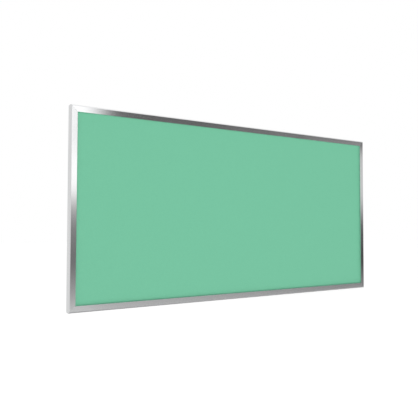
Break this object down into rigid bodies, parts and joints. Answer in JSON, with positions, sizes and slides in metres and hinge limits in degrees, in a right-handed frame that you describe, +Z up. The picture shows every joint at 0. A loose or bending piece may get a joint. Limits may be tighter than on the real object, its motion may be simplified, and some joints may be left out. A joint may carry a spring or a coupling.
{
  "type": "cork bulletin board",
  "caption": "Wall-hung rectangular pin board: a recessed mint-green cork face in a mitred, bevelled aluminium frame, with hinged D-ring hangers on the back.",
  "frame": {"origin": "centre of the top rail's rear face, in the plane that touches the wall", "axes": "+X right as seen from the front, +Y into the wall, +Z up; the pinning face looks along -Y"},
  "size_m": [1.2, 0.025, 0.6],
  "materials": {
    "frame_aluminium": "satin extrusion, brushed lengthwise, clear anodised",
    "green_pinning_face": "matte mint-green cork-linoleum with a fine granulate",
    "natural_cork": "agglomerated natural cork sheet",
    "fibreboard_core": "soft fibreboard, sawn edges",
    "hardboard_back": "hardboard with a screen-pattern rear face",
    "key_zinc": "zinc plated",
    "set_screw_steel": "plain steel, hexagon socket",
    "screw_steel": "zinc plated, cross recess",
    "hanger_zinc_plate": "zinc plated pressed sheet",
    "ring_nickel": "nickel plated wire"
  },
  "bodies": {
    "board": {"frame_top_rail": "frame_aluminium", "frame_bottom_rail": "frame_aluminium", "frame_left_stile": "frame_aluminium", "frame_right_stile": "frame_aluminium", "pin_surface": "green_pinning_face", "cork_underlay": "natural_cork", "core_board": "fibreboard_core", "backing_sheet": "hardboard_back", "corner_key_top_left": "key_zinc", "set_screw_top_left_rail": "set_screw_steel", "set_screw_top_left_stile": "set_screw_steel", "corner_key_top_right": "key_zinc", "set_screw_top_right_rail": "set_screw_steel", "set_screw_top_right_stile": "set_screw_steel", "corner_key_bottom_left": "key_zinc", "set_screw_bottom_left_rail": "set_screw_steel", "set_screw_bottom_left_stile": "set_screw_steel", "corner_key_bottom_right": "key_zinc", "set_screw_bottom_right_rail": "set_screw_steel", "set_screw_bottom_right_stile": "set_screw_steel", "hanger_plate_left": "hanger_zinc_plate", "hanger_screw_left_outer": "screw_steel", "hanger_screw_left_inner": "screw_steel", "hanger_plate_right": "hanger_zinc_plate", "hanger_screw_right_outer": "screw_steel", "hanger_screw_right_inner": "screw_steel"},
    "ring_left": {"hanger_ring_left": "ring_nickel"},
    "ring_right": {"hanger_ring_right": "ring_nickel"}
  },
  "joints": [
    {"name": "ring_left_swing", "type": "hinge", "parent": "board", "child": "ring_left", "pos_m": [-0.45, -0.0029, -0.032], "axis": [1, 0, 0], "range_deg": [-8, 180]},
    {"name": "ring_right_swing", "type": "hinge", "parent": "board", "child": "ring_right", "pos_m": [0.45, -0.0029, -0.032], "axis": [1, 0, 0], "range_deg": [-8, 180]}
  ]
}
